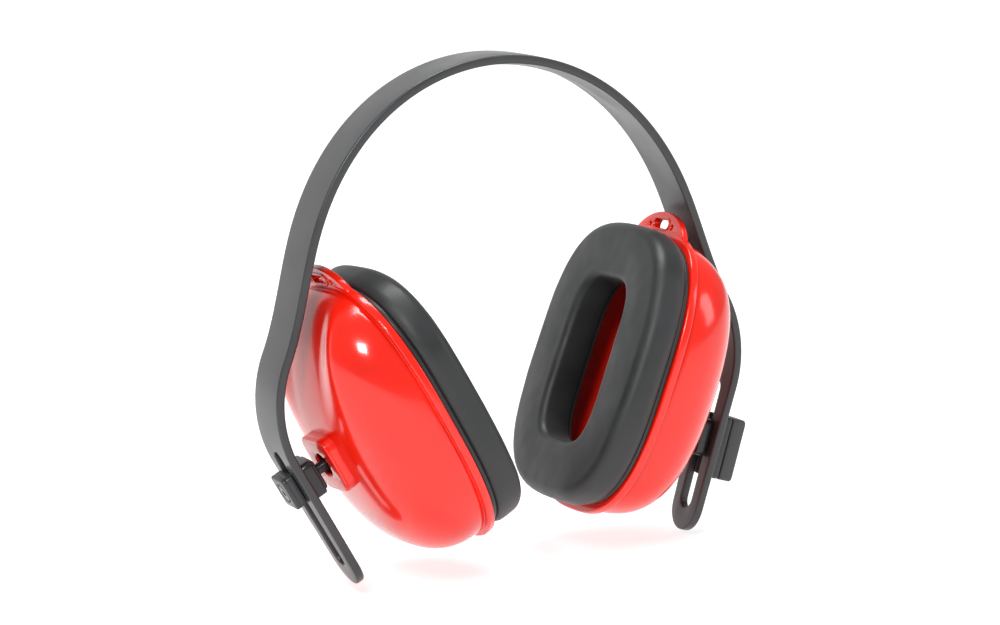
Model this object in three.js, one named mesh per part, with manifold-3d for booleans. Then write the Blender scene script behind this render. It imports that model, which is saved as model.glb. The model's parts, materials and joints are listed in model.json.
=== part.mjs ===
// Earmuff hearing protector: a sprung headband with slotted legs, a slider on each leg,
// and an ear cup on a ball joint at each slider. Units are millimetres, +Z is up,
// +X runs from the left cup to the right cup and +Y to the back of the head.
// The origin is the middle of the crown's underside, where the band rests on the head.

import * as THREE from 'three';
import { mergeVertices } from 'three/addons/utils/BufferGeometryUtils.js';
import Module from 'manifold-3d';

const wasm = await Module();
wasm.setup();

// ---------------------------------------------------------------- driving dimensions

const GAP = 0.3;                     // clearance between touching pieces

const BAND = {
  width: 22.5,                       // along Y, over the arch
  thickness: 3.1,
  archLength: 139.6,                 // crown centre to elbow, along the centre line
  // bending per millimetre at the crown, one third, two thirds and the elbow's start
  archCurvature: [0.0146, 0.0134, 0.0097, -0.012],
  elbowCurvature: 0.0228,
  legTipWidth: 18.9,
  slotWidth: 7.7,
  slotLength: 49,
  slotToTip: 8.5,
  edgeRound: 0.8,
  ridgeHeight: 1.1,                  // shallow keel under the crown
  ridgeWidth: 17,
  ridgeReach: 62,                    // keel's half length along the arch
};

const CUP = {
  halfHeight: 53.8,
  halfWidth: 42.6,
  depth: 31.6,                       // rim plane to the dome's top
  flange: 3,
  flangeStep: 1.9,                   // how far the flange stands out from the dome
  wall: 2.2,
  squareness: 2.72,                  // superellipse power of the rim's outline
  domeFullness: 2.8,                 // superellipse power of the dome's profile
  channelDip: 0.58,                  // share of the depth lost at the top, under the band
  channelHalfWidth: 14,
  channelFade: 9,                    // from the channel's floor up to the full dome
  bossWidth: 21,                     // raised pad in front of the socket
  bossHeight: 22,
  bossFace: 6.3,                     // pad's face to the ball's centre
  tabTop: 60,
  tabHalfWidth: 21,
  tabThickness: 2.6,
  strapSlot: 11,
  strapSlotHeight: 3.2,
};

const CUSHION = {
  halfHeight: 52.1,
  halfWidth: 43.2,
  thickness: 14.7,
  squareness: 2.9,
  holeSquareness: 4,
  holeHalfHeight: 30.5,
  holeHalfWidth: 19,
  skin: 1.2,
  outerRound: 5.5,
  innerRound: 3,
};

const JOINT = {
  ballRadius: 4.2,
  ballDepth: 29,                   // rim plane to the ball's centre
  neckRadius: 2.1,
  boreRadius: 2.4,
  ringRadius: 7.5,                   // floating socket ring's spherical outside
  ringHalfWidth: 3,
  collarRadius: 11,
};

const SLIDER = {
  hubLength: 14,
  hubWidth: 14,
  hubThickness: 5.6,
  tongueLength: 10,
  capWidth: 12,
  capThickness: 4.4,
  gripThickness: 6,
  headRadius: 3.4,
  headThickness: 1.2,
};

// Each side at rest. legTilt leans the leg in from the vertical; sliderDrop is how far the
// slider stands down the leg from the elbow and legToBall how far in its ball stands from the
// leg's centre line. The cup then tilts up, turns and leans on the ball, which sits socketDrop
// below the cup's middle.
const SIDES = {
  left: {
    turn: 0, legTilt: 26.4, legLength: 51.6, sliderDrop: 8.2, legToBall: 17.4,
    cupTilt: 24.9, cupYaw: 3.8, cupLean: -1.8, socketDrop: 1.7,
    capLength: 12.5, capShift: 0, grip: false,
  },
  right: {
    turn: 180, legTilt: 20, legLength: 57.1, sliderDrop: 21.5, legToBall: 15.8,
    cupTilt: 24.6, cupYaw: -0.4, cupLean: 1.5, socketDrop: 15,
    capLength: 23.4, capShift: -2.5, grip: true,
  },
};

const AROUND = 52;                   // facets round an oval piece

// ---------------------------------------------------------------- materials

function finish(color, roughness, metalness = 0) {
  return new THREE.MeshStandardMaterial({ color, roughness, metalness });
}

const finishes = {
  band: () => finish(0x3b3d40, 0.45),
  shell: () => finish(0xe01b12, 0.16),
  darkPlastic: () => finish(0x26282b, 0.5),
  grip: () => finish(0x4a4d51, 0.5),
  nylon: () => finish(0x8c9094, 0.4),
  plate: () => finish(0x1d1f22, 0.55),
  vinyl: () => finish(0x2c2e30, 0.6),
  foam: () => finish(0x303234, 0.95),
  softFoam: () => finish(0x55585c, 0.95),
};

// ---------------------------------------------------------------- solids

const radians = THREE.MathUtils.degToRad;

// One closed body from a geometry whose shared vertices may be doubled.
function solid(geometry) {
  geometry.deleteAttribute('normal');
  geometry.deleteAttribute('uv');
  const merged = mergeVertices(geometry, 1e-4);
  const p = merged.attributes.position.array;
  const source = merged.index.array;
  const triangles = [];
  let volume = 0;
  for (let i = 0; i < source.length; i += 3) {
    const [a, b, c] = [source[i], source[i + 1], source[i + 2]];
    if (a === b || b === c || c === a) continue;
    triangles.push(a, b, c);
    const va = new THREE.Vector3().fromArray(p, 3 * a);
    const vb = new THREE.Vector3().fromArray(p, 3 * b);
    const vc = new THREE.Vector3().fromArray(p, 3 * c);
    volume += va.dot(vb.cross(vc));
  }
  if (volume < 0) triangles.reverse();
  const mesh = new wasm.Mesh({
    numProp: 3,
    vertProperties: new Float32Array(p),
    triVerts: new Uint32Array(triangles),
  });
  return new wasm.Manifold(mesh);
}

function geometryOf(body) {
  const mesh = body.getMesh();
  const geometry = new THREE.BufferGeometry();
  geometry.setAttribute('position', new THREE.BufferAttribute(mesh.vertProperties, 3));
  geometry.setIndex(new THREE.BufferAttribute(mesh.triVerts, 1));
  geometry.computeVertexNormals();
  return geometry;
}

function node(name, body, material) {
  const mesh = new THREE.Mesh(geometryOf(body), material);
  mesh.name = name;
  return mesh;
}

// A turned solid about the X axis from (radius, x) points.
function turned(points, segments = 24) {
  const profile = points.map(([radius, x]) => new THREE.Vector2(radius, x));
  return new THREE.LatheGeometry(profile, segments).rotateZ(-Math.PI / 2);
}

// A turned solid whose circles become superellipses: radius is the half height (Z),
// widthAt(radius) the half width (Y) and squarenessAt(radius) the power.
function ovalTurned(points, widthAt, squarenessAt, segments = AROUND, depthAt = (x) => x) {
  const geometry = turned(points, segments);
  const position = geometry.attributes.position;
  for (let i = 0; i < position.count; i += 1) {
    const y = position.getY(i);
    const z = position.getZ(i);
    const radius = Math.hypot(y, z);
    if (radius < 1e-6) continue;
    const power = squarenessAt(radius);
    const across = Math.abs(y / radius / widthAt(radius)) ** power;
    const along = Math.abs(z / radius / radius) ** power;
    const reach = (across + along) ** (-1 / power);
    position.setY(i, (y / radius) * reach);
    position.setZ(i, (z / radius) * reach);
    position.setX(i, depthAt(position.getX(i), position.getY(i), position.getZ(i)));
  }
  return solid(geometry);
}

// Joins a profile's first and last points, for a ring that doesn't reach the axis.
function looped(points) {
  return [...points, points[0]];
}

// Quarter-circle corner points about (radius, x), from one angle to another in degrees.
function corner(radius, x, round, from, to, steps = 3) {
  const points = [];
  for (let i = 0; i <= steps; i += 1) {
    const angle = radians(from + ((to - from) * i) / steps);
    points.push([radius + round * Math.cos(angle), x + round * Math.sin(angle)]);
  }
  return points;
}

// A straight prism along X between two stations, from a shape drawn in (Y, Z).
function prism(shape, fromX, toX, curveSegments = 8) {
  const options = { depth: toX - fromX, bevelEnabled: false, curveSegments };
  const geometry = new THREE.ExtrudeGeometry(shape, options);
  const basis = new THREE.Matrix4().makeBasis(
    new THREE.Vector3(0, 1, 0), new THREE.Vector3(0, 0, 1), new THREE.Vector3(1, 0, 0));
  geometry.applyMatrix4(basis).translate(fromX, 0, 0);
  return solid(geometry);
}

// A prism with its two end edges chamfered.
function block(shape, fromX, toX, chamfer) {
  const options = {
    depth: toX - fromX - 2 * chamfer, curveSegments: 4, bevelEnabled: true, bevelSegments: 1,
    bevelThickness: chamfer, bevelSize: chamfer, bevelOffset: -chamfer,
  };
  const geometry = new THREE.ExtrudeGeometry(shape, options);
  const basis = new THREE.Matrix4().makeBasis(
    new THREE.Vector3(0, 1, 0), new THREE.Vector3(0, 0, 1), new THREE.Vector3(1, 0, 0));
  geometry.applyMatrix4(basis).translate(fromX + chamfer, 0, 0);
  return solid(geometry);
}

function rounded(width, height, round, middle = 0) {
  const [w, h] = [width / 2, height / 2];
  const shape = new THREE.Shape();
  shape.absarc(w - round, middle + h - round, round, 0, Math.PI / 2);
  shape.absarc(round - w, middle + h - round, round, Math.PI / 2, Math.PI);
  shape.absarc(round - w, middle + round - h, round, Math.PI, 1.5 * Math.PI);
  shape.absarc(w - round, middle + round - h, round, 1.5 * Math.PI, 2 * Math.PI);
  return shape;
}

function rod(radius, fromX, toX, segments = 24) {
  return solid(turned([[0, fromX], [radius, fromX], [radius, toX], [0, toX]], segments));
}

// ---------------------------------------------------------------- headband

// Stations down one half of the band's centre line: position, heading below the horizontal.
function halfBand(side) {
  const archSteps = 36;
  const elbowSteps = 8;
  const legHeading = Math.PI / 2 + radians(side.legTilt);
  const stations = [{ x: 0, z: BAND.thickness / 2, heading: 0, along: 0 }];
  const advance = (length, bend) => {
    const last = stations[stations.length - 1];
    const heading = last.heading + bend;
    const middle = (heading + last.heading) / 2;
    stations.push({
      x: last.x + length * Math.cos(middle),
      z: last.z - length * Math.sin(middle),
      heading,
      along: last.along + length,
    });
  };
  const step = BAND.archLength / archSteps;
  for (let i = 0; i < archSteps; i += 1) {
    const t = ((i + 0.5) / archSteps) * 3;
    const k = Math.floor(t);
    const [from, to] = [BAND.archCurvature[k], BAND.archCurvature[k + 1]];
    advance(step, step * THREE.MathUtils.lerp(from, to, t - k));
  }
  const turnLeft = legHeading - stations[archSteps].heading;
  for (let i = 0; i < elbowSteps; i += 1) {
    advance(turnLeft / elbowSteps / BAND.elbowCurvature, turnLeft / elbowSteps);
  }
  const elbow = stations[stations.length - 1];
  advance(side.legLength, 0);
  return { stations, elbow };
}

function offsetPoint(station, sign, outward) {
  const x = station.x + outward * Math.sin(station.heading);
  const z = station.z + outward * Math.cos(station.heading);
  return new THREE.Vector2(sign * x, z);
}

// The band seen from the front, extruded across its width with rounded long edges.
function bandStrip(halves) {
  const edge = (half, sign, outward) => half.stations.map(
    (station) => offsetPoint(station, sign, (outward * BAND.thickness) / 2));
  const outline = [
    ...edge(halves.left, -1, 1).reverse(),
    ...edge(halves.right, 1, 1).slice(1),
    ...edge(halves.right, 1, -1).reverse(),
    ...edge(halves.left, -1, -1).slice(1),
  ];
  const options = {
    depth: BAND.width - 2 * BAND.edgeRound, bevelEnabled: true, bevelSegments: 2,
    bevelThickness: BAND.edgeRound, bevelSize: BAND.edgeRound, bevelOffset: -BAND.edgeRound,
  };
  const geometry = new THREE.ExtrudeGeometry(new THREE.Shape(outline), options);
  geometry.translate(0, 0, BAND.edgeRound - BAND.width / 2).rotateX(Math.PI / 2);
  return solid(geometry);
}

// Shallow keel along the underside of the crown, thickest in the middle of its width.
function crownKeel(halves) {
  const reach = (half, sign) => half.stations
    .filter((station) => station.along <= BAND.ridgeReach)
    .map((station) => offsetPoint(station, sign, -BAND.thickness / 2));
  const line = [...reach(halves.left, -1).reverse(), ...reach(halves.right, 1).slice(1)];
  const last = line.length - 1;
  const half = BAND.ridgeWidth / 2;
  const rows = line.map((point, i) => {
    const fade = Math.sin((Math.PI * i) / last) ** 0.5;
    const down = BAND.ridgeHeight * fade + 0.05;
    const middle = Math.PI * (i / last - 0.5);
    return { point, down, lean: middle * 0.6 };
  });
  const loop = [[-half, 0.6], [half, 0.6], [half, -0.02], [1, -1], [-1, -1], [-half, -0.02]];
  const positions = [];
  for (const { point, down, lean } of rows) {
    for (const [y, level] of loop) {
      const out = level < 0 ? level * down : level;
      positions.push(point.x + out * Math.sin(lean), y, point.y + out * Math.cos(lean));
    }
  }
  const index = [];
  const size = loop.length;
  for (let i = 0; i < last; i += 1) {
    for (let j = 0; j < size; j += 1) {
      const [a, b] = [i * size + j, i * size + ((j + 1) % size)];
      index.push(a, b, b + size, a, b + size, a + size);
    }
  }
  for (let j = 1; j < size - 1; j += 1) {
    index.push(0, j + 1, j, last * size, last * size + j, last * size + j + 1);
  }
  const geometry = new THREE.BufferGeometry();
  geometry.setAttribute('position', new THREE.Float32BufferAttribute(positions, 3));
  geometry.setIndex(index);
  return solid(geometry);
}

// Places a body made in a leg's own frame (X towards the head, Z up the leg, origin at the
// elbow's end) on its side of the band.
function legMatrix(side, half) {
  const matrix = new THREE.Matrix4().makeRotationZ(radians(side.turn));
  matrix.multiply(new THREE.Matrix4().makeTranslation(-half.elbow.x, 0, half.elbow.z));
  return matrix.multiply(new THREE.Matrix4().makeRotationY(-radians(side.legTilt)));
}

// What is cut from a leg: everything outside its tapered round-ended plan, and its slot.
function legCutter(side, half) {
  const [w0, w1] = [BAND.width / 2 + 0.2, BAND.legTipWidth / 2];
  const bottom = w1 - side.legLength;
  const plan = new THREE.Shape();
  plan.moveTo(-w0, 5);
  plan.lineTo(-w0, 0);
  plan.lineTo(-w1, bottom);
  plan.absarc(0, bottom, w1, Math.PI, 2 * Math.PI);
  plan.lineTo(w0, 0);
  plan.lineTo(w0, 5);
  const around = rounded(40, side.legLength + 8, 1, -4 - side.legLength / 2);
  const middle = BAND.slotToTip + BAND.slotLength / 2 - side.legLength;
  const slot = rounded(BAND.slotWidth, BAND.slotLength, BAND.slotWidth / 2 - 0.01, middle);
  const cut = prism(around, -6, 6, 2).subtract(prism(plan, -7, 7, 12)).add(prism(slot, -8, 8, 6));
  const placed = geometryOf(cut).applyMatrix4(legMatrix(side, half));
  return solid(placed);
}

function headband(halves) {
  let body = bandStrip(halves).add(crownKeel(halves));
  for (const [name, side] of Object.entries(SIDES)) {
    body = body.subtract(legCutter(side, halves[name]));
  }
  return node('headband', body, finishes.band());
}

// ---------------------------------------------------------------- slider on the leg
// Slider pieces are made about the point where the stud crosses the leg's centre line:
// +X towards the head, +Z up the leg.

const LEG_FACE = BAND.thickness / 2;
const CAP_FACE = -LEG_FACE - GAP - SLIDER.capThickness;

function sliderHub() {
  const face = LEG_FACE + GAP;
  const shape = rounded(SLIDER.hubWidth, SLIDER.hubLength, 2);
  const tongue = rounded(BAND.slotWidth - 2 * GAP, SLIDER.tongueLength, 1);
  return block(shape, face, face + SLIDER.hubThickness, 0.8)
    .add(prism(tongue, -LEG_FACE, face + 1, 3))
    .subtract(rod(JOINT.boreRadius, -5, 15));
}

function sliderCap(side) {
  const shape = rounded(SLIDER.capWidth, side.capLength, 1.5, side.capShift);
  const recess = rod(SLIDER.headRadius + GAP, CAP_FACE - 1, CAP_FACE + SLIDER.headThickness + GAP);
  return block(shape, CAP_FACE, -LEG_FACE - GAP, 0.6)
    .subtract(rod(JOINT.boreRadius, CAP_FACE - 1, 0))
    .subtract(recess);
}

function gripBlock(side) {
  const shape = rounded(SLIDER.capWidth, side.capLength, 1.5, side.capShift);
  return block(shape, CAP_FACE - GAP - SLIDER.gripThickness, CAP_FACE - GAP, 0.8);
}

// Ball, neck and headed shank in one turned piece.
function pivotStud(side) {
  const { ballRadius, neckRadius } = JOINT;
  const points = [];
  const neckAngle = Math.PI - Math.asin(neckRadius / ballRadius);
  const steps = 9;
  for (let i = 0; i <= steps; i += 1) {
    const angle = (neckAngle * i) / steps;
    const radius = i === 0 ? 0 : ballRadius * Math.sin(angle);
    points.push([radius, side.legToBall + ballRadius * Math.cos(angle)]);
  }
  const head = CAP_FACE + SLIDER.headThickness;
  points.push([neckRadius, head], [SLIDER.headRadius, head]);
  points.push([SLIDER.headRadius, CAP_FACE + 0.05], [0, CAP_FACE + 0.05]);
  return solid(turned(points, 20));
}

// Ring with a spherical seat inside and a spherical outside, which floats between ball and cup.
function socketRing() {
  const { ringRadius, ringHalfWidth, ballRadius } = JOINT;
  const arc = (radius, sign) => {
    const reach = Math.asin(ringHalfWidth / radius);
    const points = [];
    for (let i = 0; i <= 4; i += 1) {
      const angle = sign * (reach - (2 * reach * i) / 4);
      points.push([radius * Math.cos(angle), radius * Math.sin(angle)]);
    }
    return points;
  };
  return solid(turned(looped([...arc(ringRadius, 1), ...arc(ballRadius + GAP, -1)]), 24));
}

// ---------------------------------------------------------------- ear cup
// Cup pieces are made about the rim's middle: +X towards the head, +Z up the cup.

const shellWidth = (radius) => (radius * CUP.halfWidth) / CUP.halfHeight;
const shellPower = (radius) => 2 + (CUP.squareness - 2) * Math.min(1, radius / CUP.halfHeight);

function cushionShare(radius) {
  return (radius - CUSHION.holeHalfHeight) / (CUSHION.halfHeight - CUSHION.holeHalfHeight);
}

function cushionWidth(radius) {
  return THREE.MathUtils.lerp(CUSHION.holeHalfWidth, CUSHION.halfWidth, cushionShare(radius));
}

function cushionPower(radius) {
  return THREE.MathUtils.lerp(CUSHION.holeSquareness, CUSHION.squareness, cushionShare(radius));
}

// Dome profile from its top to its foot, or back.
function dome(radius, depth, steps) {
  const points = [];
  for (let i = 0; i <= steps; i += 1) {
    const angle = (Math.PI / 2) * (1 - i / steps);
    const out = radius * Math.cos(angle) ** (2 / CUP.domeFullness);
    const up = depth * Math.sin(angle) ** (2 / CUP.domeFullness);
    points.push([i === 0 ? 0 : out, -CUP.flange - (i === steps ? 0 : up)]);
  }
  return points;
}

// Loop above the rim with a slot for a head strap and a small hole on each side of it.
function strapTab() {
  const foot = 46;
  const arch = new THREE.Shape();
  arch.absellipse(0, foot, CUP.tabHalfWidth, CUP.tabTop - foot, 0, Math.PI, false, 0);
  return prism(arch, -CUP.tabThickness, -0.2, 20);
}

function strapCuts() {
  const height = CUP.halfHeight + CUP.strapSlotHeight / 2 - 0.2;
  const slot = rounded(CUP.strapSlot, CUP.strapSlotHeight, CUP.strapSlotHeight / 2 - 0.01, height);
  let cuts = prism(slot, -8, 3, 4);
  for (const side of [-1, 1]) {
    const hole = new THREE.Shape();
    hole.absarc(side * (CUP.strapSlot / 2 + 3), height - 1, 0.9, 0, 2 * Math.PI);
    cuts = cuts.add(prism(hole, -8, 3, 5));
  }
  return cuts;
}

// The dome has a shallow channel towards its top, where the band passes over it.
function domeDepth(x, y, z) {
  const end = CUP.channelHalfWidth + CUP.channelFade;
  const share = 1 - THREE.MathUtils.smoothstep(Math.abs(y), CUP.channelHalfWidth, end);
  const fade = 1 - CUP.channelDip * share * Math.max(0, z / CUP.halfHeight) ** 2;
  return x < -CUP.flange ? fade * (x + CUP.flange) - CUP.flange : x;
}

function cupShell(side) {
  const outer = CUP.halfHeight - CUP.flangeStep;
  const inner = outer - CUP.wall;
  const depth = CUP.depth - CUP.flange;
  const outside = [...dome(outer, depth, 9), [CUP.halfHeight, -CUP.flange], [CUP.halfHeight, 0], [0, 0]];
  const inside = [...dome(inner, depth - CUP.wall, 9), [inner, 1], [0, 1]];
  const shapes = [outside, inside].map(
    (profile) => ovalTurned(profile, shellWidth, shellPower, AROUND, domeDepth));
  const centre = [-JOINT.ballDepth, 0, -side.socketDrop];
  const pad = block(rounded(CUP.bossWidth, CUP.bossHeight, 5), -CUP.bossFace, 3, 0.8);
  const collar = rod(JOINT.collarRadius, 0, 6.3, 32).add(pad).translate(centre);
  const seat = JOINT.ringRadius + GAP;
  const sphere = [];
  for (let i = 0; i <= 12; i += 1) {
    const angle = (Math.PI * i) / 12;
    sphere.push([i % 12 === 0 ? 0 : seat * Math.sin(angle), -seat * Math.cos(angle)]);
  }
  const socket = solid(turned(sphere, 32)).add(rod(seat, 0, 12, 32)).translate(centre);
  const shell = shapes[0].add(strapTab()).subtract(shapes[1]);
  return shell.add(collar).subtract(socket).subtract(strapCuts());
}

// Disc that closes the socket from inside the cup.
function socketCap(side) {
  const spigot = JOINT.ringRadius - 0.1;
  const profile = [
    [4.8, 4.9], [spigot, 4.9], [spigot, 6.6], [JOINT.collarRadius - 0.3, 6.6],
    [JOINT.collarRadius - 0.3, 8.6], [4.8, 8.6],
  ];
  return solid(turned(looped(profile), 24)).translate([-JOINT.ballDepth, 0, -side.socketDrop]);
}

function acousticFoam() {
  const [back, front] = [-19.5, -14];
  const profile = [[0, back], [31, back], [40, -15.5], [40, front], [0, front]];
  return ovalTurned(profile, shellWidth, shellPower, 32);
}

const PLATE_FRONT = 2;

// Plate behind the cushion with a skirt that snaps into the cup's rim.
function cushionPlate() {
  const hole = CUSHION.holeHalfHeight + 1.5;
  const flat = [[50.5, GAP], [50.5, PLATE_FRONT], [hole, PLATE_FRONT], [hole, GAP]];
  const skirt = [[48.9, -4.5], [48.9, 1], [46.5, 1], [46.5, -4.5]];
  return ovalTurned(looped(flat), cushionWidth, cushionPower, 36)
    .add(ovalTurned(looped(skirt), shellWidth, shellPower, 36));
}

// Cushion cover: a trough of vinyl that opens towards the plate.
function cushionSkin() {
  const { halfHeight, holeHalfHeight, thickness, skin, outerRound, innerRound } = CUSHION;
  const back = PLATE_FRONT + GAP;
  const profile = [
    [halfHeight - 0.6, back],
    ...corner(halfHeight - outerRound, thickness - outerRound, outerRound, 0, 90, 4),
    ...corner(holeHalfHeight + innerRound, thickness - innerRound, innerRound, 90, 180),
    [holeHalfHeight, back], [holeHalfHeight + skin, back],
    ...corner(holeHalfHeight + innerRound, thickness - innerRound, innerRound - skin, 180, 90, 2),
    ...corner(halfHeight - outerRound, thickness - outerRound, outerRound - skin, 90, 0, 3),
    [halfHeight - 0.6 - skin, back],
  ];
  return ovalTurned(looped(profile), cushionWidth, cushionPower);
}

function cushionFoam() {
  const { halfHeight, holeHalfHeight, thickness, skin } = CUSHION;
  const inset = skin + 0.5;
  const [outer, inner] = [halfHeight - inset, holeHalfHeight + inset];
  const [back, front] = [PLATE_FRONT + 2 * GAP, thickness - inset];
  const profile = [
    [outer - 0.8, back], [outer - 0.3, 8], [outer - 5.5, front], [inner + 4.5, front],
    [inner, front - 4], [inner, back],
  ];
  return ovalTurned(looped(profile), cushionWidth, cushionPower, 36);
}

// ---------------------------------------------------------------- assembly

function buildSide(name, side, half) {
  const mirror = new THREE.Group();
  mirror.rotation.z = radians(side.turn);

  // down the leg from the elbow's end, then in along the leg's normal to the ball
  const slider = new THREE.Group();
  const tilt = radians(side.legTilt);
  const down = new THREE.Vector3(Math.sin(tilt), 0, -Math.cos(tilt));
  const inward = new THREE.Vector3(Math.cos(tilt), 0, Math.sin(tilt));
  slider.position.set(-half.elbow.x, 0, half.elbow.z).addScaledVector(down, side.sliderDrop);
  slider.rotation.y = -tilt;
  slider.add(node(`slider_hub_${name}`, sliderHub(), finishes.darkPlastic()));
  slider.add(node(`slider_cap_${name}`, sliderCap(side), finishes.nylon()));
  slider.add(node(`pivot_stud_${name}`, pivotStud(side), finishes.nylon()));
  if (side.grip) slider.add(node(`slider_grip_${name}`, gripBlock(side), finishes.grip()));

  const ring = node(`socket_ring_${name}`, socketRing(), finishes.darkPlastic());
  ring.position.copy(slider.position).addScaledVector(inward, side.legToBall);
  ring.rotation.y = -tilt;

  const onBall = new THREE.Group();
  onBall.position.copy(ring.position);
  onBall.rotation.set(
    radians(side.cupLean), -radians(side.cupTilt), radians(side.cupYaw), 'YZX');
  const cup = new THREE.Group();
  cup.position.set(JOINT.ballDepth, 0, side.socketDrop);
  cup.add(node(`cup_shell_${name}`, cupShell(side), finishes.shell()));
  cup.add(node(`socket_cap_${name}`, socketCap(side), finishes.darkPlastic()));
  cup.add(node(`acoustic_foam_${name}`, acousticFoam(), finishes.foam()));
  cup.add(node(`cushion_plate_${name}`, cushionPlate(), finishes.plate()));
  cup.add(node(`cushion_foam_${name}`, cushionFoam(), finishes.softFoam()));
  cup.add(node(`cushion_skin_${name}`, cushionSkin(), finishes.vinyl()));
  onBall.add(cup);

  mirror.add(slider, ring, onBall);
  return mirror;
}

const group = new THREE.Group();
const halves = { left: halfBand(SIDES.left), right: halfBand(SIDES.right) };
group.add(headband(halves));
for (const [name, side] of Object.entries(SIDES)) {
  group.add(buildSide(name, side, halves[name]));
}

export default group;
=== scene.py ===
# Looks of the earmuff hearing protector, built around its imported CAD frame.
# Local lengths are in millimetres; every mesh is converted to metres as it is made.

import json
import math

import bmesh
import bpy
from mathutils import Matrix, Vector, noise


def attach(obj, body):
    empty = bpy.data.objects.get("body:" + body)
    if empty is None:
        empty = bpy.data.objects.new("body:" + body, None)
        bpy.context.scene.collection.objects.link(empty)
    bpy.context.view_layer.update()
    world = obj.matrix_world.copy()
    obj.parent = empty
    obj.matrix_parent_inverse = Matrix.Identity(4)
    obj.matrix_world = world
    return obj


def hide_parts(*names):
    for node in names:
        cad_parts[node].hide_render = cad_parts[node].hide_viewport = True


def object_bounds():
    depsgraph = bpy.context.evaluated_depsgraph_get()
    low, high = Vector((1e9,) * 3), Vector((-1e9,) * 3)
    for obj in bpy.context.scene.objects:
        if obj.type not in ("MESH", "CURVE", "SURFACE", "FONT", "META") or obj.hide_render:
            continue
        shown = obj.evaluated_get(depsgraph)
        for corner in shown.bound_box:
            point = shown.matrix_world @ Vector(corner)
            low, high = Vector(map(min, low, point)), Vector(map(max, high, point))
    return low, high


MM = 0.001

# camera, in metres
LOOK_AT = Vector((0.0003, 0, -0.09))
CAMERA_DISTANCE = 1.2
LENS = 120.73

# light
FLOOR_GREY = 0.5
FLOOR_GLOW = 0.72
SKY_STRENGTH = 0.4

# ---------------------------------------------------------------- dimensions

BAND_WIDTH = 22.5
BAND_THICKNESS = 3.1
ARCH = 139.6
ARCH_CURVATURE = (0.0146, 0.0134, 0.0097, -0.012)
ELBOW_CURVATURE = 0.0228
TIP_WIDTH = 18.9
SLOT_WIDTH = 7.7
SLOT_LENGTH = 49.0
SLOT_TO_TIP = 8.5
KEEL_HEIGHT = 1.0
KEEL_HALF_WIDTH = 8.5
KEEL_REACH = 60.0

HALF_HEIGHT = 53.8
HALF_WIDTH = 42.6
DEPTH = 31.6
FLANGE = 3.0
FLANGE_STEP = 1.9
WALL = 2.2
SQUARENESS = 2.72
FULLNESS = 2.8
CHANNEL_DIP = 0.58
CHANNEL_HALF_WIDTH = 11.5
CHANNEL_FADE = 17.0
BOSS_WIDTH = 21.0
BOSS_HEIGHT = 22.0
BOSS_FACE = 6.3
TAB_HALF_WIDTH = 21.0
TAB_TOP = 60.0
TAB_FOOT = 46.0

PAD_HALF_HEIGHT = 52.1
PAD_HALF_WIDTH = 43.2
PAD_HOLE_HALF_HEIGHT = 30.5
PAD_HOLE_HALF_WIDTH = 19.0
PAD_HOLE_SQUARENESS = 4.0
PAD_FRONT = 14.7
PAD_SQUARENESS = 2.9

BALL = 4.2
BALL_DEPTH = 29.0
GAP = 0.3
CAP_THICKNESS = 4.4
GRIP_THICKNESS = 6.0
HUB_THICKNESS = 5.6

SIDES = {
    "left": {
        "sign": -1, "tilt": 26.4, "leg": 51.6, "reach": 17.4,
        "drop": 1.7, "cap": 12.5, "shift": 0.0,
    },
    "right": {
        "sign": 1, "tilt": 20.0, "leg": 57.1, "reach": 15.8,
        "drop": 15.0, "cap": 23.4, "shift": -2.5,
    },
}

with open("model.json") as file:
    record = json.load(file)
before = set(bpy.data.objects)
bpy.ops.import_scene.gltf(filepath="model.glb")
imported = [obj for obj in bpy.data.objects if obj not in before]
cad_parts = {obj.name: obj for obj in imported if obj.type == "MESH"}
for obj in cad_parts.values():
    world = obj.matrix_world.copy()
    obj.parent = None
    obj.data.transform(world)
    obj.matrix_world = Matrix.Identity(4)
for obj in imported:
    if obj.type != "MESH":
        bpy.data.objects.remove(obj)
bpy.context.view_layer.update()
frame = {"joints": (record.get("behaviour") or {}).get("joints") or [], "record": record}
joints = {joint["name"]: joint for joint in frame["joints"]}
mounts = {mount["name"]: mount for mount in frame["record"]["mounts"]}

# ---------------------------------------------------------------- materials


def material(name, color, roughness, **inputs):
    made = bpy.data.materials.new(name)
    made.use_nodes = True
    shader = made.node_tree.nodes["Principled BSDF"]
    shader.inputs["Base Color"].default_value = (*color, 1)
    shader.inputs["Roughness"].default_value = roughness
    for key, value in inputs.items():
        shader.inputs[key.replace("_", " ")].default_value = value
    return made


def add(tree, kind, **settings):
    made = tree.nodes.new(kind)
    for key, value in settings.items():
        if hasattr(made, key):
            setattr(made, key, value)
        else:
            made.inputs[key.replace("_", " ")].default_value = value
    return made


def texture(tree, kind, scale, **settings):
    """A texture node in object space, so its grain keeps its real size."""
    place = add(tree, "ShaderNodeTexCoord")
    made = add(tree, kind, **settings)
    made.inputs["Scale"].default_value = scale
    tree.links.new(place.outputs["Object"], made.inputs["Vector"])
    return made


def vary(made, socket, source, low, high):
    """Drives one of the shader's sockets between two numbers from a texture's output."""
    tree = made.node_tree
    spread = add(tree, "ShaderNodeMapRange", From_Min=0.3, From_Max=0.7, To_Min=low, To_Max=high)
    tree.links.new(source, spread.inputs["Value"])
    tree.links.new(spread.outputs["Result"], tree.nodes["Principled BSDF"].inputs[socket])


def tint(made, source, dark, light):
    """Colours the shader between two tones from a texture's output."""
    tree = made.node_tree
    ramp = add(tree, "ShaderNodeValToRGB")
    ramp.color_ramp.elements[0].position = 0.3
    ramp.color_ramp.elements[1].position = 0.7
    ramp.color_ramp.elements[0].color = (*dark, 1)
    ramp.color_ramp.elements[1].color = (*light, 1)
    tree.links.new(source, ramp.inputs["Fac"])
    tree.links.new(ramp.outputs["Color"], tree.nodes["Principled BSDF"].inputs["Base Color"])


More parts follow.
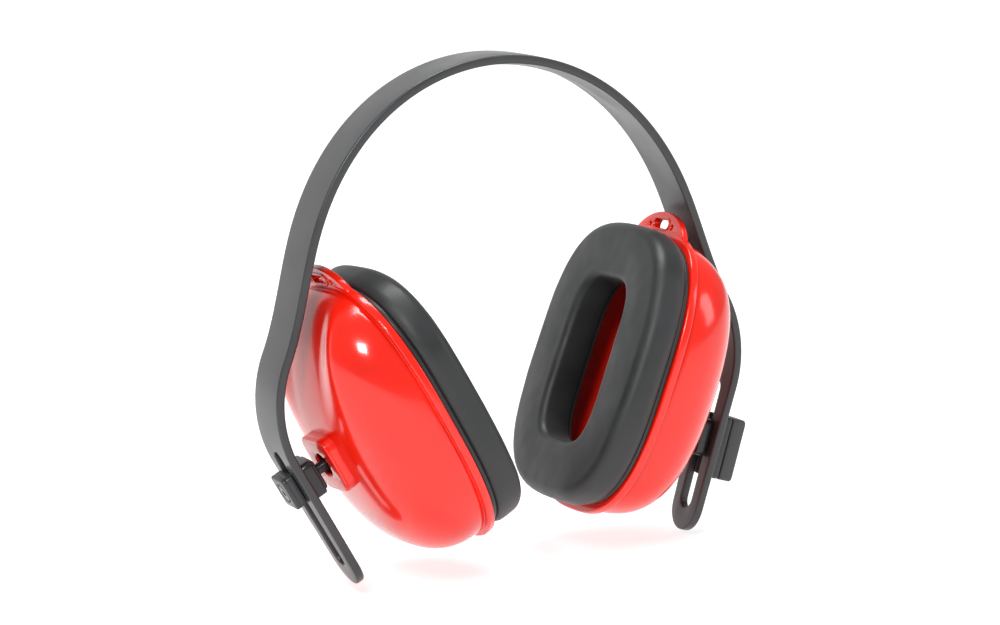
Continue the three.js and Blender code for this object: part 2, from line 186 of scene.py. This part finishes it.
def bump(made, layers):
    """Stacks bumps on the shader; each layer is (output, strength, height in millimetres)."""
    tree = made.node_tree
    below = None
    for source, strength, height in layers:
        layer = add(tree, "ShaderNodeBump", Strength=strength, Distance=height * MM)
        tree.links.new(source, layer.inputs["Height"])
        if below:
            tree.links.new(below.outputs["Normal"], layer.inputs["Normal"])
        below = layer
    tree.links.new(below.outputs["Normal"], tree.nodes["Principled BSDF"].inputs["Normal"])


def moulded(name, color, roughness, grain=0.02, **inputs):
    """Moulded plastic: a fine grain, slow waviness, and a sheen that varies a little."""
    made = material(name, color, roughness, **inputs)
    tree = made.node_tree
    fine = texture(tree, "ShaderNodeTexNoise", 2600, Detail=3.0)
    slow = texture(tree, "ShaderNodeTexNoise", 45, Detail=2.0)
    vary(made, "Roughness", slow.outputs["Fac"], roughness * 0.82, roughness * 1.2)
    tint(made, slow.outputs["Fac"], [c * 0.9 for c in color], [c * 1.1 for c in color])
    bump(made, [(slow.outputs["Fac"], 0.25, 0.05), (fine.outputs["Fac"], 0.35, grain)])
    return made


def vinyl(name, color):
    """Soft vinyl: pebbled grain over slow puckers."""
    made = material(name, color, 0.5, Sheen_Weight=0.08, Sheen_Roughness=0.4)
    tree = made.node_tree
    pebble = texture(tree, "ShaderNodeTexVoronoi", 1500, feature="SMOOTH_F1")
    fine = texture(tree, "ShaderNodeTexNoise", 3400, Detail=4.0)
    slow = texture(tree, "ShaderNodeTexNoise", 60, Detail=3.0)
    vary(made, "Roughness", slow.outputs["Fac"], 0.42, 0.6)
    tint(made, slow.outputs["Fac"], [c * 0.85 for c in color], [c * 1.15 for c in color])
    bump(made, [
        (slow.outputs["Fac"], 0.4, 0.35),
        (pebble.outputs["Distance"], 0.4, 0.06),
        (fine.outputs["Fac"], 0.4, 0.03),
    ])
    return made


def open_foam(name, color):
    """Open-cell foam: dark pores in a lighter web."""
    made = material(name, color, 0.95, Sheen_Weight=0.4)
    tree = made.node_tree
    pores = texture(tree, "ShaderNodeTexVoronoi", 950)
    cloud = texture(tree, "ShaderNodeTexNoise", 300, Detail=5.0)
    tint(made, cloud.outputs["Fac"], [c * 0.55 for c in color], [c * 1.5 for c in color])
    bump(made, [(cloud.outputs["Fac"], 0.7, 0.5), (pores.outputs["Distance"], 1.0, 0.5)])
    return made


BAND_PLASTIC = moulded("band_plastic", (0.038, 0.039, 0.041), 0.33, grain=0.012)
BLACK_PLASTIC = moulded("dark_plastic", (0.016, 0.016, 0.018), 0.3)
CAP_PLASTIC = moulded("cap_plastic", (0.034, 0.035, 0.037), 0.38)
GRIP_PLASTIC = moulded("grip_plastic", (0.042, 0.043, 0.045), 0.42)
NYLON = moulded("stud_nylon", (0.012, 0.012, 0.013), 0.28)
RED = moulded("shell_red", (0.80, 0.011, 0.0015), 0.18, grain=0.004, Coat_Weight=0.25,
              Coat_Roughness=0.04)
PLATE_PLASTIC = moulded("plate_plastic", (0.018, 0.018, 0.02), 0.45)
VINYL = vinyl("cushion_vinyl", (0.02, 0.021, 0.022))
INSERT_FOAM = open_foam("insert_foam", (0.03, 0.03, 0.033))
CORE_FOAM = open_foam("cushion_core", (0.16, 0.16, 0.17))

# ---------------------------------------------------------------- mesh helpers


def build(name, body, nodes, bm, finish, sharp=35):
    """Turns a bmesh, already in place in millimetres, into a piece of the object."""
    bmesh.ops.remove_doubles(bm, verts=bm.verts, dist=1e-4)
    bmesh.ops.recalc_face_normals(bm, faces=bm.faces)
    bmesh.ops.scale(bm, vec=(MM, MM, MM), verts=bm.verts)
    mesh = bpy.data.meshes.new(name)
    bm.to_mesh(mesh)
    bm.free()
    mesh.shade_smooth()
    mesh.set_sharp_from_angle(angle=math.radians(sharp))
    mesh.materials.append(finish)
    piece = bpy.data.objects.new(name, mesh)
    bpy.context.scene.collection.objects.link(piece)
    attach(piece, body)
    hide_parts(*nodes)
    return piece


def joined(*parts):
    """One bmesh from several, which are used up."""
    whole = bmesh.new()
    for part in parts:
        mesh = bpy.data.meshes.new("part")
        part.to_mesh(mesh)
        part.free()
        whole.from_mesh(mesh)
        bpy.data.meshes.remove(mesh)
    return whole


def placed(bm, matrix):
    bmesh.ops.transform(bm, matrix=matrix, verts=bm.verts)
    return bm


def skin_rows(bm, rows, closed):
    """Joins rows of points into quads. A one-point row is a pole."""
    made = [[bm.verts.new(point) for point in row] for row in rows]
    pairs = list(zip(made, made[1:] + made[:1])) if closed else list(zip(made, made[1:]))
    for upper, lower in pairs:
        count = max(len(upper), len(lower))
        for i in range(count):
            j = (i + 1) % count
            corners = []
            for vert in (upper[i % len(upper)], upper[j % len(upper)],
                         lower[j % len(lower)], lower[i % len(lower)]):
                if vert not in corners:
                    corners.append(vert)
            if len(corners) > 2:
                bm.faces.new(corners)
    return bm


def turned(points, segments=64, closed=False):
    """A turned body about X from (radius, x) points."""
    rows = []
    for radius, x in points:
        if radius < 1e-6:
            rows.append([Vector((x, 0, 0))])
            continue
        rows.append([
            Vector((x, radius * math.cos(a), radius * math.sin(a)))
            for a in (2 * math.pi * i / segments for i in range(segments))
        ])
    return skin_rows(bmesh.new(), rows, closed)


def oval(points, width_at, power_at, segments=200, closed=False, shape=None):
    """A turned body whose circles become superellipses; radius is the half height."""
    rows = []
    for radius, x in points:
        if radius < 1e-6:
            rows.append([Vector((x, 0, 0))])
            continue
        power = power_at(radius)
        row = []
        for i in range(segments):
            a = 2 * math.pi * i / segments
            # even steps along the squarer outline, which bunches less at its corners
            c, s = math.cos(a), math.sin(a)
            y = width_at(radius) * math.copysign(abs(c) ** (2 / power), c)
            z = radius * math.copysign(abs(s) ** (2 / power), s)
            row.append((y, z))
        row = even(row)
        rows.append([Vector((x, y, z)) for y, z in row])
    if shape:
        rows = [[shape(point) for point in row] for row in rows]
    return skin_rows(bmesh.new(), rows, closed)


def even(loop):
    """Spaces a closed loop of (y, z) points evenly along its length."""
    count = len(loop)
    lengths = [0.0]
    for i in range(count):
        a, b = loop[i], loop[(i + 1) % count]
        lengths.append(lengths[-1] + math.dist(a, b))
    spaced = []
    k = 0
    for i in range(count):
        target = lengths[-1] * i / count
        while lengths[k + 1] < target:
            k += 1
        t = (target - lengths[k]) / max(lengths[k + 1] - lengths[k], 1e-9)
        a, b = loop[k], loop[(k + 1) % count]
        spaced.append((a[0] + (b[0] - a[0]) * t, a[1] + (b[1] - a[1]) * t))
    return spaced


def arc(radius, x, round_, start, end, steps=6):
    """Corner points about (radius, x), from one angle to another in degrees."""
    points = []
    for i in range(steps + 1):
        a = math.radians(start + (end - start) * i / steps)
        points.append((radius + round_ * math.cos(a), x + round_ * math.sin(a)))
    return points


def circle(y, z, radius, count=32):
    turns = (2 * math.pi * i / count for i in range(count))
    return [(y + radius * math.cos(a), z + radius * math.sin(a)) for a in turns]


def rounded(width, height, round_, middle=0.0, steps=8):
    """Outline of a rounded rectangle in (y, z)."""
    w, h = width / 2 - round_, height / 2 - round_
    points = []
    for cy, cz, start in ((w, h, 0), (-w, h, 90), (-w, -h, 180), (w, -h, 270)):
        for i in range(steps + 1):
            a = math.radians(start + 90 * i / steps)
            points.append((cy + round_ * math.cos(a), cz + round_ * math.sin(a) + middle))
    return points


def plate(loops, low, high, bevel, segments=3):
    """A plate between two x stations, from outlines in (y, z), with all its edges rounded.

    The first outline is the edge and any others are holes.
    """
    curve = bpy.data.curves.new("plate", "CURVE")
    curve.dimensions = "2D"
    curve.fill_mode = "BOTH"
    curve.extrude = (high - low) / 2 - bevel
    curve.bevel_depth = bevel
    curve.bevel_resolution = segments - 1
    curve.offset = -bevel
    for loop in loops:
        spline = curve.splines.new("POLY")
        spline.points.add(len(loop) - 1)
        for point, (y, z) in zip(spline.points, loop):
            point.co = (y, z, 0, 1)
        spline.use_cyclic_u = True
    holder = bpy.data.objects.new("plate", curve)
    bpy.context.scene.collection.objects.link(holder)
    bpy.context.view_layer.update()
    solid = holder.evaluated_get(bpy.context.evaluated_depsgraph_get())
    mesh = bpy.data.meshes.new_from_object(solid)
    bm = bmesh.new()
    bm.from_mesh(mesh)
    bmesh.ops.remove_doubles(bm, verts=bm.verts, dist=1e-3)
    bpy.data.objects.remove(holder)
    bpy.data.curves.remove(curve)
    bpy.data.meshes.remove(mesh)
    middle = (low + high) / 2
    turn = Matrix(((0, 0, 1, middle), (1, 0, 0, 0), (0, 1, 0, 0), (0, 0, 0, 1)))
    return placed(bm, turn)


# ---------------------------------------------------------------- frames


def axes(origin, x, z):
    x, z = Vector(x).normalized(), Vector(z).normalized()
    y = z.cross(x)
    made = Matrix((x, y, z)).transposed().to_4x4()
    made.translation = origin
    return made


def slider_frame(name):
    """Where the stud crosses the leg's centre line: X towards the head, Z up the leg."""
    side = SIDES[name]
    ball = Vector(joints[f"swivel_{name}"]["pos_m"]) / MM
    inward = Vector(joints[f"swivel_{name}"]["axis"])
    return axes(ball - inward * side["reach"], inward, joints[f"slide_{name}"]["axis"])


def cup_frame(name):
    """The middle of the cup's rim: X towards the head, Z up the cup."""
    seal = mounts[f"{name}_ear_seal"]
    x = Vector(seal["axis"])
    z = Vector(joints[f"turn_{name}"]["axis"])
    ball = Vector(joints[f"turn_{name}"]["pos_m"]) / MM
    return axes(ball + x * BALL_DEPTH + z * SIDES[name]["drop"], x, z)


# ---------------------------------------------------------------- headband


def half_band(side):
    """Stations down one half: length along, x, z and heading below the horizontal."""
    stations = [(0.0, 0.0, BAND_THICKNESS / 2, 0.0)]

    def advance(length, bend):
        along, x, z, heading = stations[-1]
        middle = heading + bend / 2
        x += length * math.cos(middle)
        z -= length * math.sin(middle)
        stations.append((along + length, x, z, heading + bend))

    steps = 108
    for i in range(steps):
        t = (i + 0.5) / steps * 3
        k = int(t)
        bend = ARCH_CURVATURE[k] + (ARCH_CURVATURE[k + 1] - ARCH_CURVATURE[k]) * (t - k)
        advance(ARCH / steps, bend * ARCH / steps)
    turn = math.pi / 2 + math.radians(side["tilt"]) - stations[-1][3]
    for _ in range(36):
        advance(turn / 36 / ELBOW_CURVATURE, turn / 36)
    elbow = stations[-1][0]
    advance(side["leg"], 0.0)
    return stations, elbow


def band_point(stations, sign, along, out, across):
    """A point of the band from its length along, height outward and place across."""
    k = 0
    while k < len(stations) - 2 and stations[k + 1][0] < along:
        k += 1
    a, b = stations[k], stations[k + 1]
    t = (along - a[0]) / (b[0] - a[0])
    x, z, heading = (a[i] + (b[i] - a[i]) * t for i in (1, 2, 3))
    return Vector((
        sign * (x + out * math.sin(heading)), across, z + out * math.cos(heading)))


def keel(along, across):
    """Height of the shallow keel under the crown."""
    reach = max(0.0, 1 - (along / KEEL_REACH) ** 2)
    level = max(0.0, 1 - abs(across) / KEEL_HALF_WIDTH)
    return KEEL_HEIGHT * min(1.0, level * 1.12) * reach ** 0.5


def band_edge(sign, elbow, leg):
    """One half's flat outline as (along, across), out along one edge and back along the other."""
    tip = elbow + leg
    round_ = TIP_WIDTH / 2
    half = BAND_WIDTH / 2
    edge = [(sign * s, half) for s in (elbow * i / 160 for i in range(160))]
    edge += [(sign * (elbow + (leg - round_) * i / 40), half + (round_ - half) * i / 40)
             for i in range(40)]
    for i in range(25):
        a = math.pi / 2 * (1 - i / 12)
        edge.append((sign * (tip - round_ + round_ * math.cos(a)), round_ * math.sin(a)))
    back = [(u, -v) for u, v in edge[:200]]
    return edge + back[::-1]


def slot_edge(sign, tip):
    """The leg's slot as (along, across), from its lower end."""
    round_ = SLOT_WIDTH / 2
    low = tip - SLOT_TO_TIP - round_
    high = tip - SLOT_TO_TIP - SLOT_LENGTH + round_
    hole = []
    for end, start in ((low, math.pi / 2), (high, -math.pi / 2)):
        other = high if end == low else low
        side = -round_ if end == low else round_
        for i in range(25):
            a = start - math.pi * i / 24
            hole.append((sign * (end + round_ * math.cos(a)), round_ * math.sin(a)))
        hole += [(sign * (end + (other - end) * i / 30), side) for i in range(1, 30)]
    return hole


def headband():
    """A flat slotted strip, sliced finely enough to bend, then laid along the band's curve."""
    halves = {name: half_band(side) for name, side in SIDES.items()}
    outline = []
    holes = []
    for name, side in SIDES.items():
        elbow = halves[name][1]
        outline.append(band_edge(side["sign"], elbow, side["leg"]))
        holes.append(slot_edge(side["sign"], elbow + side["leg"]))
    # each half's outline starts and ends at the crown; its ends give way to one shared point
    left, right = outline
    whole = left[1:-1] + [(0, -BAND_WIDTH / 2)] + right[1:-1][::-1] + [(0, BAND_WIDTH / 2)]
    half = BAND_THICKNESS / 2
    bm = plate([whole, *holes], -half, half, 0.75, segments=4)
    for i in range(-82, 83):
        slice_(bm, (0, i * 2.5, 0), (0, 1, 0))
    for cut in (-8.5, -6.5, -4.5, -2.6, -1.0, 1.0, 2.6, 4.5, 6.5, 8.5):
        slice_(bm, (0, 0, cut), (0, 0, 1))
    for vert in bm.verts:
        out, along, across = vert.co
        name = "left" if along < 0 else "right"
        sunk = keel(abs(along), across) if out < -0.6 else 0.0
        crown = 0.18 * max(0.0, 1 - (across / (BAND_WIDTH / 2)) ** 2) if out > 0.6 else 0.0
        lift = out - sunk + crown
        vert.co = band_point(halves[name][0], SIDES[name]["sign"], abs(along), lift, across)
    return build("headband_strap", "band", ["headband"], bm, BAND_PLASTIC, 40)


def slice_(bm, point, normal):
    bmesh.ops.bisect_plane(
        bm, geom=bm.verts[:] + bm.edges[:] + bm.faces[:], plane_co=point, plane_no=normal,
        dist=1e-4)


# ---------------------------------------------------------------- slider and stud


def slider(name):
    side = SIDES[name]
    place = slider_frame(name)
    face = BAND_THICKNESS / 2
    bore = circle(0, 0, 2.4)
    hub = joined(
        plate([rounded(14, 14, 2.2), bore], face + GAP, face + GAP + HUB_THICKNESS - 1.2, 0.6),
        plate([rounded(12, 12, 2), bore], face + GAP + 2, face + GAP + HUB_THICKNESS, 0.7),
        plate([rounded(SLOT_WIDTH - 2 * GAP, 10, 1), bore], -face, face + 1.5, 0.3))
    build(f"slider_hub_block_{name}", f"slider_{name}", [f"slider_hub_{name}"],
          placed(hub, place), BLACK_PLASTIC)

    outer = -face - GAP - CAP_THICKNESS
    outline = rounded(12, side["cap"], 1.6, side["shift"])
    cap = joined(
        plate([outline, bore], outer + 1.5, -face - GAP, 0.5),
        plate([outline, circle(0, 0, 3.7)], outer, outer + 2.2, 0.6))
    build(f"slider_cap_block_{name}", f"slider_{name}", [f"slider_cap_{name}"],
          placed(cap, place), CAP_PLASTIC)

    if name == "right":
        low = outer - GAP - GRIP_THICKNESS
        inner = rounded(10.2, side["cap"] - 1.8, 1.4, side["shift"])
        grip = joined(
            plate([outline], low + 0.5, outer - GAP, 0.7),
            plate([inner], low, low + 2, 0.5))
        build("slider_grip_block_right", "slider_right", ["slider_grip_right"],
              placed(grip, place), GRIP_PLASTIC)

    reach = side["reach"]
    neck = math.pi - math.asin(2.1 / BALL)
    points = [(BALL * math.sin(neck * i / 24), reach + BALL * math.cos(neck * i / 24))
              for i in range(25)]
    points[0] = (0.0, reach + BALL)
    head = outer + 1.2
    points += [(2.1, reach - 5.2), (2.1, head + 0.2), (2.3, head), (3.2, head)]
    points += arc(3.0, outer + 0.45, 0.4, 0, -90, 4)
    points += [(1.2, outer + 0.05), (1.0, outer + 0.45), (0.0, outer + 0.45)]
    build(f"pivot_ball_stud_{name}", f"stud_{name}", [f"pivot_stud_{name}"],
          placed(turned(points), place), NYLON, 30)

    ring = [(7.5 * math.cos(a), 7.5 * math.sin(a)) for a in
            (math.asin(0.4) * (1 - i / 8) for i in range(17))]
    seat = BALL + GAP
    ring += [(seat * math.cos(a), seat * math.sin(a)) for a in
             (-math.asin(3 / seat) * (1 - i / 8) for i in range(17))]
    shift = Matrix.Translation((reach, 0, 0))
    build(f"socket_seat_ring_{name}", f"ring_{name}", [f"socket_ring_{name}"],
          placed(turned(ring, closed=True), place @ shift), BLACK_PLASTIC, 30)


# ---------------------------------------------------------------- cup


def shell_width(radius):
    return radius * HALF_WIDTH / HALF_HEIGHT


def shell_power(radius):
    return 2 + (SQUARENESS - 2) * min(1.0, radius / HALF_HEIGHT)


def pad_share(radius):
    return (radius - PAD_HOLE_HALF_HEIGHT) / (PAD_HALF_HEIGHT - PAD_HOLE_HALF_HEIGHT)


def pad_width(radius):
    return PAD_HOLE_HALF_WIDTH + (PAD_HALF_WIDTH - PAD_HOLE_HALF_WIDTH) * pad_share(radius)


def pad_power(radius):
    return PAD_HOLE_SQUARENESS + (PAD_SQUARENESS - PAD_HOLE_SQUARENESS) * pad_share(radius)


def dip(point):
    """The dome has a shallow channel towards its top, where the band passes over it."""
    if point.x >= -FLANGE:
        return point
    t = min(1.0, max(0.0, (abs(point.y) - CHANNEL_HALF_WIDTH) / CHANNEL_FADE))
    share = 1 - t * t * (3 - 2 * t)
    fade = 1 - CHANNEL_DIP * share * max(0.0, point.z / HALF_HEIGHT) ** 2
    return Vector((fade * (point.x + FLANGE) - FLANGE, point.y, point.z))


def dome(radius, depth, steps):
    """Dome profile from its top to just short of its foot."""
    points = [(0.0, -FLANGE - depth)]
    for i in range(1, steps):
        a = math.pi / 2 * (1 - (i / steps) ** 1.25)
        points.append((radius * math.cos(a) ** (2 / FULLNESS),
                       -FLANGE - depth * math.sin(a) ** (2 / FULLNESS)))
    return points


def superellipse_edge(half_height, half_width, power, start, end, count):
    """Points of an outline in (y, z), between two angles in degrees from +Y."""
    points = []
    for i in range(count + 1):
        a = math.radians(start + (end - start) * i / count)
        c, s = math.cos(a), math.sin(a)
        reach = (abs(c / half_width) ** power + abs(s / half_height) ** power) ** (-1 / power)
        points.append((reach * c, reach * s))
    return points


def shell(name):
    side = SIDES[name]
    place = cup_frame(name)
    outer = HALF_HEIGHT - FLANGE_STEP
    inner = outer - WALL
    profile = dome(outer, DEPTH - FLANGE, 60)
    profile += [(outer - 0.02, -3.9), (outer - 0.25, -3.5), (outer - 0.3, -3.2)]
    profile += [(outer - 0.1, -3.02), (outer + 0.3, -FLANGE)]
    profile += arc(HALF_HEIGHT - 0.7, -FLANGE + 0.7, 0.7, -90, 0, 5)
    profile += arc(HALF_HEIGHT - 0.6, -0.6, 0.6, 0, 90, 5)
    profile += [(inner + 0.3, 0), (inner, -0.3)]
    profile += dome(inner, DEPTH - FLANGE - WALL, 40)[::-1]
    body = oval(profile, shell_width, shell_power, shape=dip)

    # the dome opens where the socket's boss stands through it
    drop = side["drop"]
    cutter = bpy.data.meshes.new("cutter")
    hole = placed(turned([(0, -40), (9.6, -40), (9.6, -20), (0, -20)], 96),
                  Matrix.Translation((0, 0, -drop)))
    bmesh.ops.recalc_face_normals(hole, faces=hole.faces)
    hole.to_mesh(cutter)
    body = subtracted(body, cutter)

    seat = 7.8
    collar = turned([(seat, 0.1), (seat, 6.0), (seat + 0.3, 6.3), (10.7, 6.3), (11, 6.0),
                     (11, 0.4), (10.7, 0.1)], 96, closed=True)
    front = plate([rounded(BOSS_WIDTH, BOSS_HEIGHT, 5), circle(0, 0, 4.7, 96)],
                  -BOSS_FACE, -4.7, 0.7, segments=5)
    behind = plate([rounded(BOSS_WIDTH - 0.1, BOSS_HEIGHT - 0.1, 5), circle(0, 0, seat, 96)],
                   -5.4, 3, 0.3)
    boss = placed(joined(collar, front, behind), Matrix.Translation((-BALL_DEPTH, 0, -drop)))

    # loop for a strap above the rim, rooted in the flange
    arch = [(TAB_HALF_WIDTH * math.cos(a), TAB_FOOT + (TAB_TOP - TAB_FOOT) * math.sin(a))
            for a in (math.radians(22 + 136 * i / 60) for i in range(61))]
    root = superellipse_edge(51.6, 40.8, SQUARENESS, 112, 68, 30)
    slot = rounded(11, 3.2, 1.59, 55.3, 10)
    holes = [circle(y, 54.6, 0.9, 20) for y in (8.5, -8.5)]
    tab = plate([arch + root, slot, *holes], -2.6, -0.2, 0.5)
    bead = plate([rounded(13.2, 5.4, 2.69, 55.3, 10), rounded(11.1, 3.3, 1.64, 55.3, 10)],
                 -3.1, 0.1, 0.4)
    whole = joined(body, boss, tab, bead)
    return build(f"cup_dome_{name}", f"cup_{name}", [f"cup_shell_{name}"],
                 placed(whole, place), RED, 32)


def subtracted(bm, cutter):
    """bm less a mesh, by an exact boolean."""
    mesh = bpy.data.meshes.new("target")
    bmesh.ops.recalc_face_normals(bm, faces=bm.faces)
    bm.to_mesh(mesh)
    bm.free()
    holders = [bpy.data.objects.new("boolean", data) for data in (mesh, cutter)]
    for holder in holders:
        bpy.context.scene.collection.objects.link(holder)
    cut = holders[0].modifiers.new("cut", "BOOLEAN")
    cut.operation = "DIFFERENCE"
    cut.solver = "EXACT"
    cut.object = holders[1]
    bpy.context.view_layer.update()
    solid = holders[0].evaluated_get(bpy.context.evaluated_depsgraph_get())
    result = bpy.data.meshes.new_from_object(solid)
    made = bmesh.new()
    made.from_mesh(result)
    for holder in holders:
        bpy.data.objects.remove(holder)
    for data in (mesh, cutter, result):
        bpy.data.meshes.remove(data)
    return made


def socket_cap(name):
    profile = [(4.8, 4.9), (7.1, 4.9), (7.4, 5.2), (7.4, 6.6), (10.4, 6.6), (10.7, 6.9)]
    profile += [(10.7, 8.2), (10.3, 8.6), (6.2, 8.6), (5.9, 8.2), (5.2, 8.2), (4.8, 8.0)]
    place = cup_frame(name) @ Matrix.Translation((-BALL_DEPTH, 0, -SIDES[name]["drop"]))
    build(f"socket_retainer_{name}", f"cup_{name}", [f"socket_cap_{name}"],
          placed(turned(profile, 72, closed=True), place), BLACK_PLASTIC, 30)


def insert(name):
    """Sound-absorbing foam slab in the cup, with a softly uneven face."""
    points = [(0.0, -19.5)] + [(31 * i / 16, -19.5) for i in range(1, 16)]
    points += [(30, -19.45), (31.2, -19.2), (33, -18.5), (36, -17.2), (39, -15.9)]
    points += [(39.8, -15.4), (40, -14.9), (39.7, -14.3), (39, -14.05)]
    points += [(38.6 * i / 30, -14.0) for i in range(29, 0, -1)] + [(0.0, -14.0)]

    def uneven(point):
        lump = noise.noise(point * 0.09) * 0.5 + noise.noise(point * 0.5) * 0.18
        return point - Vector((0.55 + lump, 0, 0)) if point.x > -14.5 else point

    body = oval(points, shell_width, shell_power, 160, shape=uneven)
    piece = build(f"acoustic_insert_{name}", f"cup_{name}", [f"acoustic_foam_{name}"],
                  placed(body, cup_frame(name)), INSERT_FOAM, 60)


def cushion_plate(name):
    hole = PAD_HOLE_HALF_HEIGHT + 1.5
    flat = arc(50.0, 1.5, 0.5, 0, 90, 4) + [(hole + 0.3, 2.0), (hole, 1.7), (hole, 0.6)]
    flat += [(hole + 0.3, GAP), (50.0, GAP)] + arc(50.0, 0.8, 0.5, -80, 0, 4)
    skirt = [(48.9, -3.6), (48.9, 1), (46.5, 1), (46.5, -4.2), (46.8, -4.5), (48.3, -4.5)]
    body = joined(oval(flat, pad_width, pad_power, closed=True),
                  oval(skirt, shell_width, shell_power, closed=True))
    build(f"cushion_base_{name}", f"cup_{name}", [f"cushion_plate_{name}"],
          placed(body, cup_frame(name)), PLATE_PLASTIC)


def pucker(seed):
    """Slow unevenness of stretched vinyl, stronger on the inner wall."""
    shift = Vector((seed * 31.7, seed * 11.3, 0))

    def move(point):
        radial = Vector((0, point.y, point.z))
        size = noise.noise(point * 0.045 + shift) * 0.35 + noise.noise(point * 0.17 + shift) * 0.1
        lift = Vector((1, 0, 0)) * size * min(1.0, max(0.0, (point.x - 4) / 8))
        side = radial.normalized() * size * 0.6 * min(1.0, max(0.0, (point.x - 3) / 4))
        return point + lift - side
    return move


def cushion(name):
    """Cover and core of the ear cushion. The face crowns, and the sides pull in at the base."""
    top = PAD_FRONT - 0.35
    outer = PAD_HALF_HEIGHT
    hole = PAD_HOLE_HALF_HEIGHT
    back = 2.3
    outside = [(outer - 1.5, back), (outer - 0.9, back + 0.5), (outer - 0.45, back + 1.6)]
    outside += [(outer - 0.15, 4.6), (outer - 0.05, 6.2), (outer - 0.1, 7.8)]
    outside += arc(outer - 4.8, top - 4.8, 4.6, 6, 86, 12)
    crown = []
    for i in range(1, 14):
        t = i / 14
        radius = (outer - 5.1) + (hole + 3.0 - outer + 5.1) * t
        crown.append((radius, top - 0.15 + 0.4 * math.sin(math.pi * t)))
    inside = arc(hole + 2.8, top - 2.8, 2.7, 94, 176, 10)
    inside += [(hole + 0.05, 8), (hole + 0.1, 5.5), (hole + 0.3, 3.4), (hole + 0.7, back)]
    cover = outside + crown + inside
    lining = [(hole + 1.9, back), (hole + 1.4, 5.5), (hole + 1.35, 9)]
    lining += arc(hole + 3.1, top - 3.1, 1.7, 172, 96, 6)
    lining += arc(outer - 5.1, top - 4.9, 3.5, 84, 8, 8)
    lining += [(outer - 1.35, 7.8), (outer - 1.4, 4.6), (outer - 2.7, back)]
    move = pucker(1 if name == "left" else 2)
    body = oval(cover + lining, pad_width, pad_power, 240, closed=True, shape=move)
    piece = build(f"cushion_cover_{name}", f"cup_{name}", [f"cushion_skin_{name}"],
                  placed(body, cup_frame(name)), VINYL, 50)

    core = [(outer - 3.1, 2.7), (outer - 2.1, 3.6), (outer - 1.95, 7.8)]
    core += arc(outer - 5.4, top - 5.2, 3.1, 8, 86, 6)
    core += arc(hole + 3.7, top - 3.6, 1.5, 96, 172, 5)
    core += [(hole + 2.1, 8), (hole + 2.2, 4), (hole + 2.8, 2.7)]
    filling = oval(core, pad_width, pad_power, 160, closed=True, shape=move)
    piece = build(f"cushion_core_{name}", f"cup_{name}", [f"cushion_foam_{name}"],
                  placed(filling, cup_frame(name)), CORE_FOAM, 60)


# ---------------------------------------------------------------- the object

headband()
for side_name in SIDES:
    slider(side_name)
    shell(side_name)
    socket_cap(side_name)
    insert(side_name)
    cushion_plate(side_name)
    cushion(side_name)

# ---------------------------------------------------------------- stage, light, camera

floor_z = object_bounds()[0][2] - 0.002


def stage_floor():
    """Pale floor that sweeps up behind the object."""
    bm = bmesh.new()
    rows = []
    for i in range(40):
        t = i / 39
        along = -3.0 + 9.0 * t
        height = 0.0 if along < 3.5 else (along - 3.5) ** 2 * 0.6
        rows.append([bm.verts.new((x, along, floor_z + height)) for x in (-8, -3, 0, 3, 8)])
    for near, far in zip(rows, rows[1:]):
        for i in range(4):
            bm.faces.new((near[i], near[i + 1], far[i + 1], far[i]))
    mesh = bpy.data.meshes.new("floor")
    bm.to_mesh(mesh)
    bm.free()
    mesh.shade_smooth()
    white = material("floor_white", (FLOOR_GREY, FLOOR_GREY, FLOOR_GREY), 0.9)
    shader = white.node_tree.nodes["Principled BSDF"]
    shader.inputs["Emission Color"].default_value = (1, 1, 1, 1)
    shader.inputs["Emission Strength"].default_value = FLOOR_GLOW
    mesh.materials.append(white)
    floor = bpy.data.objects.new("floor", mesh)
    bpy.context.scene.collection.objects.link(floor)


def softbox(name, place, aim, size, power):
    light = bpy.data.lights.new(name, "AREA")
    light.shape = "RECTANGLE"
    light.size, light.size_y = size
    light.energy = power
    holder = bpy.data.objects.new(name, light)
    holder.location = place
    direction = Vector(aim) - Vector(place)
    holder.rotation_euler = direction.to_track_quat("-Z", "Y").to_euler()
    bpy.context.scene.collection.objects.link(holder)
    holder.visible_camera = False


def camera():
    """Long lens from the front left, slightly above."""
    right = Vector((0.90984, -0.40915, -0.06916))
    up = Vector((0.13830, 0.14187, 0.98018))
    back = right.cross(up).normalized()
    made = bpy.data.cameras.new("camera")
    made.lens = LENS
    made.sensor_width = 36
    made.clip_end = 50
    holder = bpy.data.objects.new("camera", made)
    pose = Matrix((right, up, back)).transposed().to_4x4()
    pose.translation = LOOK_AT + back * CAMERA_DISTANCE
    holder.matrix_world = pose
    bpy.context.scene.collection.objects.link(holder)
    bpy.context.scene.camera = holder


def sky():
    world = bpy.data.worlds.new("studio")
    world.use_nodes = True
    world.node_tree.nodes["Background"].inputs["Color"].default_value = (1, 1, 1, 1)
    world.node_tree.nodes["Background"].inputs["Strength"].default_value = SKY_STRENGTH
    bpy.context.scene.world = world
    bpy.context.scene.view_settings.view_transform = "Standard"


stage_floor()
softbox("key", (-1.0, -1.5, 1.2), (0, 0, -0.1), (0.5, 0.45), 26)
softbox("top", (0.1, 0.2, 1.6), (0, 0, 0), (0.9, 0.7), 24)
softbox("fill", (1.6, -1.0, 0.4), (0, 0, -0.1), (0.5, 0.7), 4)
camera()
sky()
